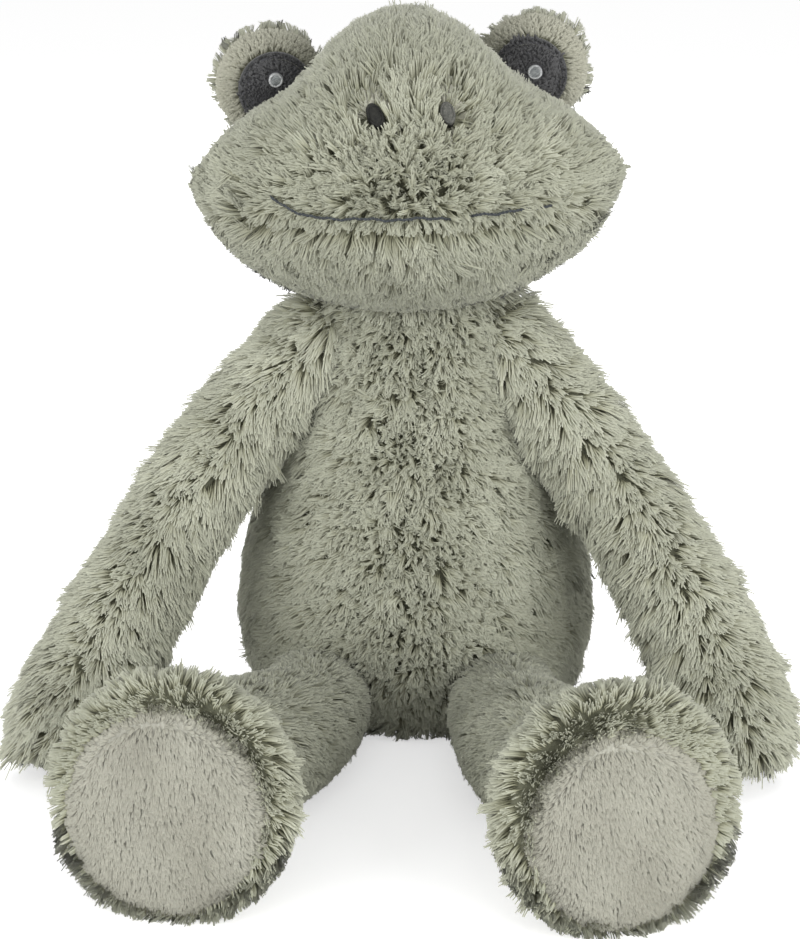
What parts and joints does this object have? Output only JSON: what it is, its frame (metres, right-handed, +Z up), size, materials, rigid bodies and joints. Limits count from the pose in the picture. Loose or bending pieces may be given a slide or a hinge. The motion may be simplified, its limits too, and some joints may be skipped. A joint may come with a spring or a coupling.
{
  "type": "plush frog",
  "caption": "Sitting long-pile plush frog with a wide head, raised round eyes, long floppy arms and flared feet with short-pile soles; head and limbs move at their seams.",
  "frame": {"origin": "on the surface that the frog sits on, under the flat of its seat, in the middle of its width", "axes": "+Z up, -Y the way the frog's face and feet point, +X the frog's own left"},
  "size_m": [0.2686, 0.2387, 0.2563],
  "materials": {
    "long_pile": "long-pile polyester plush, sage green, combed",
    "short_pile": "short-pile plush, warm grey",
    "velour": "dark grey velour",
    "dark_thread": "dark embroidery thread",
    "pale_thread": "pale grey satin-stitch thread",
    "fibre_filling": "white polyester fibre filling",
    "inner_cloth": "plain undyed inner cloth"
  },
  "bodies": {
    "torso": {"torso_cover": "long_pile", "torso_filling": "fibre_filling", "seat_bean_bag": "inner_cloth"},
    "neck": {"neck_seam": "inner_cloth"},
    "head": {"head_cover": "long_pile", "head_filling": "fibre_filling", "mouth_stitch": "dark_thread", "left_eye_pod_cover": "long_pile", "left_eye_pod_filling": "fibre_filling", "left_eye_patch": "velour", "left_eye_highlight": "pale_thread", "left_nostril": "dark_thread", "right_eye_pod_cover": "long_pile", "right_eye_pod_filling": "fibre_filling", "right_eye_patch": "velour", "right_eye_highlight": "pale_thread", "right_nostril": "dark_thread"},
    "left_arm": {"left_arm_cover": "long_pile", "left_arm_filling": "fibre_filling"},
    "right_arm": {"right_arm_cover": "long_pile", "right_arm_filling": "fibre_filling"},
    "left_leg": {"left_leg_cover": "long_pile", "left_leg_filling": "fibre_filling", "left_sole": "short_pile"},
    "right_leg": {"right_leg_cover": "long_pile", "right_leg_filling": "fibre_filling", "right_sole": "short_pile"}
  },
  "joints": [
    {"name": "head_turn", "type": "hinge", "parent": "torso", "child": "neck", "pos_m": [0, 0.004, 0.157], "axis": [0, 0, 1], "range_deg": [-28, 28], "stiffness_Nm_per_rad": 0.5},
    {"name": "head_nod", "type": "hinge", "parent": "neck", "child": "head", "pos_m": [0, 0.004, 0.157], "axis": [1, 0, 0], "range_deg": [-15, 10], "stiffness_Nm_per_rad": 0.8},
    {"name": "left_arm_lift", "type": "hinge", "parent": "torso", "child": "left_arm", "pos_m": [0.031, 0.002, 0.141], "axis": [-1, 0, 0], "range_deg": [0, 48]},
    {"name": "right_arm_lift", "type": "hinge", "parent": "torso", "child": "right_arm", "pos_m": [-0.031, 0.002, 0.141], "axis": [-1, 0, 0], "range_deg": [0, 48]},
    {"name": "left_leg_drop", "type": "hinge", "parent": "torso", "child": "left_leg", "pos_m": [0.031, -0.023, 0.0165], "axis": [1, 0, 0], "range_deg": [0, 85]},
    {"name": "right_leg_drop", "type": "hinge", "parent": "torso", "child": "right_leg", "pos_m": [-0.031, -0.023, 0.0165], "axis": [1, 0, 0], "range_deg": [0, 85]}
  ]
}
